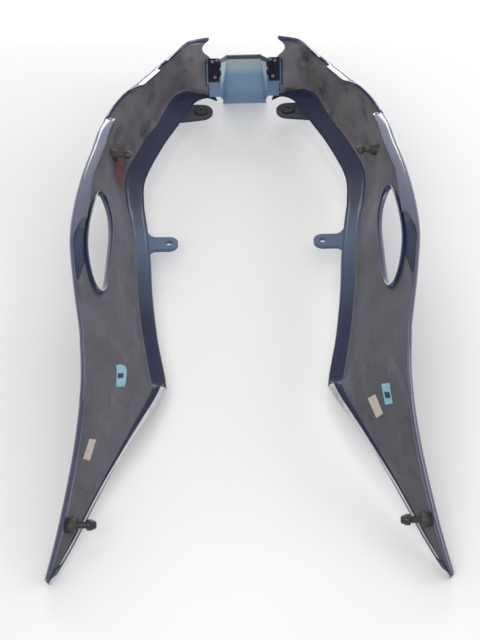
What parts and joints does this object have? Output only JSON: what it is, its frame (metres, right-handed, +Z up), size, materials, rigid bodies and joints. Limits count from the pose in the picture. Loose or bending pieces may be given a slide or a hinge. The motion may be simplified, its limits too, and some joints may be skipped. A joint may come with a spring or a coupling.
{
  "type": "motorcycle tail fairing",
  "caption": "Horseshoe-shaped tail fairing with folded rim, grip holes, mounting tabs, push-in pins and a channelled rear bridge.",
  "frame": {"origin": "middle of the bounding box at its base, on the ground under the fairing", "axes": "+Y from the front tips to the tail, +Z up with the fairing lying on its seat side, +X across to the right seen from the front tips"},
  "size_m": [0.4044, 0.8683, 0.1214],
  "materials": {
    "cowl_paint": "clear-coated dark blue outside, matte dark grey inside",
    "bridge_paint": "gloss light blue paint",
    "plate_plastic": "matte black",
    "screw_steel": "bright zinc",
    "clip_steel": "black phosphated spring steel",
    "grommet_rubber": "matte black",
    "collar_steel": "dull zinc",
    "pin_plastic": "semi-matte black"
  },
  "bodies": {
    "root": {"left_side_cowl": "cowl_paint", "right_side_cowl": "cowl_paint", "centre_bridge": "bridge_paint", "left_clamp_plate": "plate_plastic", "right_clamp_plate": "plate_plastic", "plate_screws": "screw_steel", "spring_clips": "clip_steel", "left_grommet": "grommet_rubber", "right_grommet": "grommet_rubber", "left_collar": "collar_steel", "right_collar": "collar_steel", "left_mid_pin": "pin_plastic", "right_mid_pin": "pin_plastic", "left_front_pin": "pin_plastic", "right_front_pin": "pin_plastic"}
  },
  "joints": []
}
